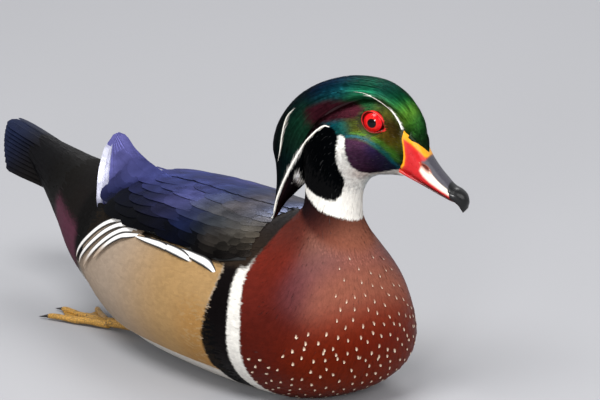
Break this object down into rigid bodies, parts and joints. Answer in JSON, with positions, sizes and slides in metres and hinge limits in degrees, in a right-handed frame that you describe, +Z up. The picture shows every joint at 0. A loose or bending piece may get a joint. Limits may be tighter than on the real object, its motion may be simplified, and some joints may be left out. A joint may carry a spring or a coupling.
{
  "type": "wood duck drake",
  "caption": "Life-size adult wood duck drake at rest on its belly as it floats, head turned to its left, with a hanging crest and folded wings",
  "frame": {"origin": "on the floor, at the middle of the flat under the belly", "axes": "+X along the body from tail to breast, +Y to the bird's left, +Z up"},
  "size_m": [0.3468, 0.1216, 0.1686],
  "materials": {
    "bill_horn": "waxy horn",
    "head_feathers": "silky, iridescent feathers",
    "eye": "wet and glossy",
    "eyelid_skin": "bare skin, satin",
    "neck_feathers": "soft white feathers",
    "breast_feathers": "soft feathers with a silky sheen",
    "body_feathers": "soft dark feathers",
    "wing_feathers": "smooth feathers, faintly glossy",
    "flank_feathers": "soft, finely barred feathers",
    "tail_feathers": "smooth feathers, faintly glossy",
    "leg_skin": "scaly skin, satin"
  },
  "bodies": {
    "root": {"bill_upper": "bill_horn", "bill_lower": "bill_horn", "head": "head_feathers", "crest": "head_feathers", "eye_left": "eye", "eye_right": "eye", "eyelid_left": "eyelid_skin", "eyelid_right": "eyelid_skin", "neck": "neck_feathers", "breast": "breast_feathers", "torso": "body_feathers", "wing_left": "wing_feathers", "wing_right": "wing_feathers", "flank_left": "flank_feathers", "flank_right": "flank_feathers", "tail": "tail_feathers", "leg_left": "leg_skin", "leg_right": "leg_skin", "foot_left": "leg_skin", "foot_right": "leg_skin"}
  },
  "joints": []
}
